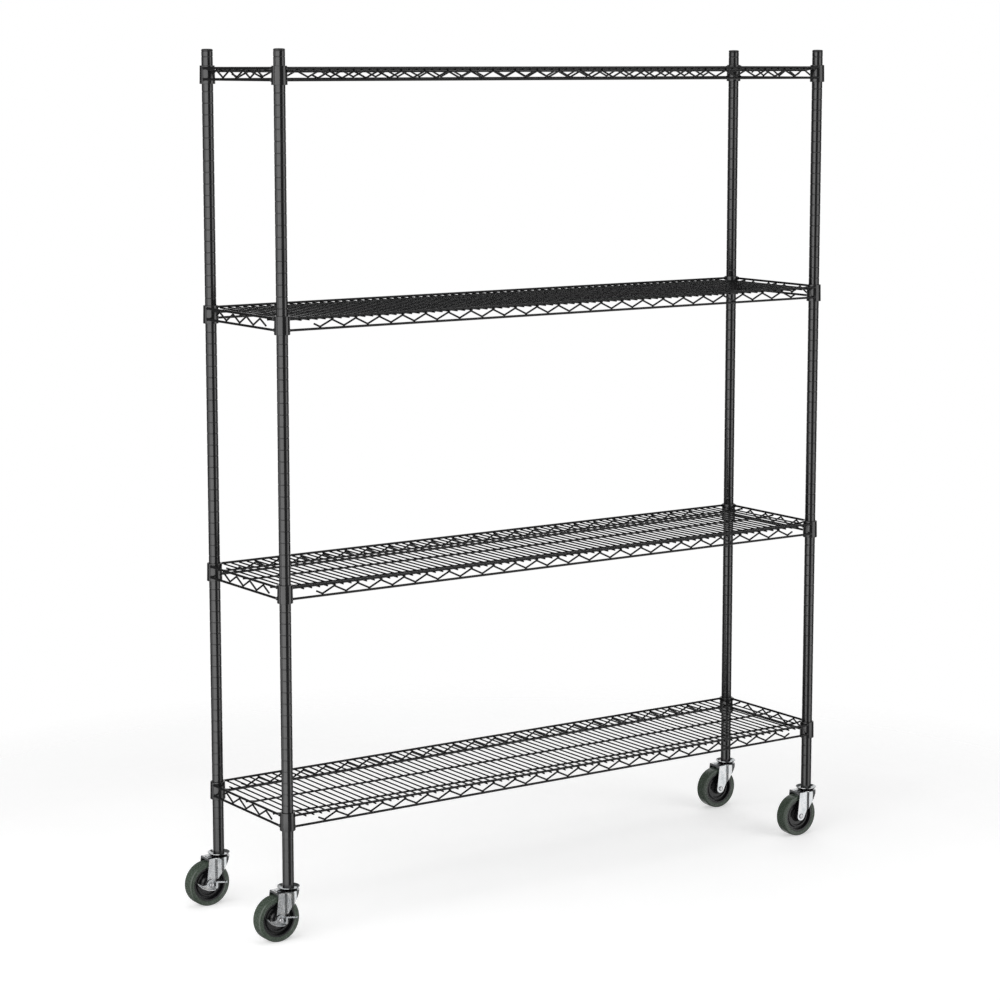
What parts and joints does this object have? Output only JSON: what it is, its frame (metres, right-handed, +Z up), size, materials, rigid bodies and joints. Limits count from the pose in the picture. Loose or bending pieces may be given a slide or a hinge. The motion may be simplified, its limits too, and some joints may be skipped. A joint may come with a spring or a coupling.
{
  "type": "wire shelf cart",
  "caption": "Tall wire shelf cart: grooved posts carry lift-off wire shelves on tapered split sleeves, and roll on swivel casters, those at one end with foot brakes.",
  "frame": {"origin": "on the floor, under the middle of the whole cart", "axes": "+X along the shelves, away from the braked end; +Y from the front to the rear; +Z up"},
  "size_m": [1.601, 0.3782, 1.945],
  "materials": {
    "post_coat": "satin black epoxy on steel tube",
    "shelf_coat": "satin black epoxy on steel wire",
    "cap_plastic": "moulded black",
    "sleeve_plastic": "moulded black",
    "zinc_plate": "bright zinc plated sheet",
    "plain_steel": "zinc plated turned steel",
    "wheel_plastic": "moulded black",
    "tyre_rubber": "matt grey-green rubber"
  },
  "bodies": {
    "posts": {"post_front_left": "post_coat", "post_front_right": "post_coat", "post_rear_left": "post_coat", "post_rear_right": "post_coat", "post_caps": "cap_plastic", "post_inserts": "plain_steel", "kingpins": "zinc_plate", "race_cups": "zinc_plate", "split_sleeves": "sleeve_plastic"},
    "bottom_shelf": {"collars_bottom_shelf": "shelf_coat", "rails_bottom_shelf": "shelf_coat", "truss_bottom_shelf": "shelf_coat", "deck_wires_bottom_shelf": "shelf_coat", "support_wires_bottom_shelf": "shelf_coat"},
    "lower_shelf": {"collars_lower_shelf": "shelf_coat", "rails_lower_shelf": "shelf_coat", "truss_lower_shelf": "shelf_coat", "deck_wires_lower_shelf": "shelf_coat", "support_wires_lower_shelf": "shelf_coat"},
    "upper_shelf": {"collars_upper_shelf": "shelf_coat", "rails_upper_shelf": "shelf_coat", "truss_upper_shelf": "shelf_coat", "deck_wires_upper_shelf": "shelf_coat", "support_wires_upper_shelf": "shelf_coat"},
    "top_shelf": {"collars_top_shelf": "shelf_coat", "rails_top_shelf": "shelf_coat", "truss_top_shelf": "shelf_coat", "deck_wires_top_shelf": "shelf_coat", "support_wires_top_shelf": "shelf_coat"},
    "swivel_front_left": {"fork_front_left": "zinc_plate", "swivel_balls_front_left": "plain_steel", "axle_bolt_front_left": "plain_steel", "axle_sleeve_front_left": "plain_steel", "axle_nut_front_left": "plain_steel"},
    "wheel_front_left": {"wheel_core_front_left": "wheel_plastic", "tyre_front_left": "tyre_rubber"},
    "brake_front_left": {"brake_lever_front_left": "zinc_plate"},
    "swivel_front_right": {"fork_front_right": "zinc_plate", "swivel_balls_front_right": "plain_steel", "axle_bolt_front_right": "plain_steel", "axle_sleeve_front_right": "plain_steel", "axle_nut_front_right": "plain_steel"},
    "wheel_front_right": {"wheel_core_front_right": "wheel_plastic", "tyre_front_right": "tyre_rubber"},
    "swivel_rear_left": {"fork_rear_left": "zinc_plate", "swivel_balls_rear_left": "plain_steel", "axle_bolt_rear_left": "plain_steel", "axle_sleeve_rear_left": "plain_steel", "axle_nut_rear_left": "plain_steel"},
    "wheel_rear_left": {"wheel_core_rear_left": "wheel_plastic", "tyre_rear_left": "tyre_rubber"},
    "brake_rear_left": {"brake_lever_rear_left": "zinc_plate"},
    "swivel_rear_right": {"fork_rear_right": "zinc_plate", "swivel_balls_rear_right": "plain_steel", "axle_bolt_rear_right": "plain_steel", "axle_sleeve_rear_right": "plain_steel", "axle_nut_rear_right": "plain_steel"},
    "wheel_rear_right": {"wheel_core_rear_right": "wheel_plastic", "tyre_rear_right": "tyre_rubber"}
  },
  "joints": [
    {"name": "bottom_shelf_lift", "type": "slide", "parent": "posts", "child": "bottom_shelf", "axis": [0, 0, 1], "range_m": [0, 0.4665]},
    {"name": "lower_shelf_lift", "type": "slide", "parent": "posts", "child": "lower_shelf", "axis": [0, 0, 1], "range_m": [0, 0.5436]},
    {"name": "upper_shelf_lift", "type": "slide", "parent": "posts", "child": "upper_shelf", "axis": [0, 0, 1], "range_m": [0, 0.4894]},
    {"name": "top_shelf_lift", "type": "slide", "parent": "posts", "child": "top_shelf", "axis": [0, 0, 1], "range_m": [0, 0.08]},
    {"name": "swivel_front_left", "type": "hinge", "parent": "posts", "child": "swivel_front_left", "pos_m": [-0.71805, -0.1594, 0.1155], "axis": [0, 0, 1], "continuous": true},
    {"name": "roll_front_left", "type": "hinge", "parent": "swivel_front_left", "child": "wheel_front_left", "pos_m": [-0.74955, -0.1594, 0.051], "axis": [0, 1, 0], "continuous": true},
    {"name": "brake_front_left", "type": "hinge", "parent": "swivel_front_left", "child": "brake_front_left", "pos_m": [-0.74955, -0.1594, 0.051], "axis": [0, -1, 0], "range_deg": [0, 18]},
    {"name": "swivel_front_right", "type": "hinge", "parent": "posts", "child": "swivel_front_right", "pos_m": [0.77495, -0.1594, 0.1155], "axis": [0, 0, 1], "continuous": true},
    {"name": "roll_front_right", "type": "hinge", "parent": "swivel_front_right", "child": "wheel_front_right", "pos_m": [0.74345, -0.1594, 0.051], "axis": [0, 1, 0], "continuous": true},
    {"name": "swivel_rear_left", "type": "hinge", "parent": "posts", "child": "swivel_rear_left", "pos_m": [-0.71805, 0.1594, 0.1155], "axis": [0, 0, 1], "continuous": true},
    {"name": "roll_rear_left", "type": "hinge", "parent": "swivel_rear_left", "child": "wheel_rear_left", "pos_m": [-0.74955, 0.1594, 0.051], "axis": [0, 1, 0], "continuous": true},
    {"name": "brake_rear_left", "type": "hinge", "parent": "swivel_rear_left", "child": "brake_rear_left", "pos_m": [-0.74955, 0.1594, 0.051], "axis": [0, -1, 0], "range_deg": [0, 18]},
    {"name": "swivel_rear_right", "type": "hinge", "parent": "posts", "child": "swivel_rear_right", "pos_m": [0.77495, 0.1594, 0.1155], "axis": [0, 0, 1], "continuous": true},
    {"name": "roll_rear_right", "type": "hinge", "parent": "swivel_rear_right", "child": "wheel_rear_right", "pos_m": [0.74345, 0.1594, 0.051], "axis": [0, 1, 0], "continuous": true}
  ]
}
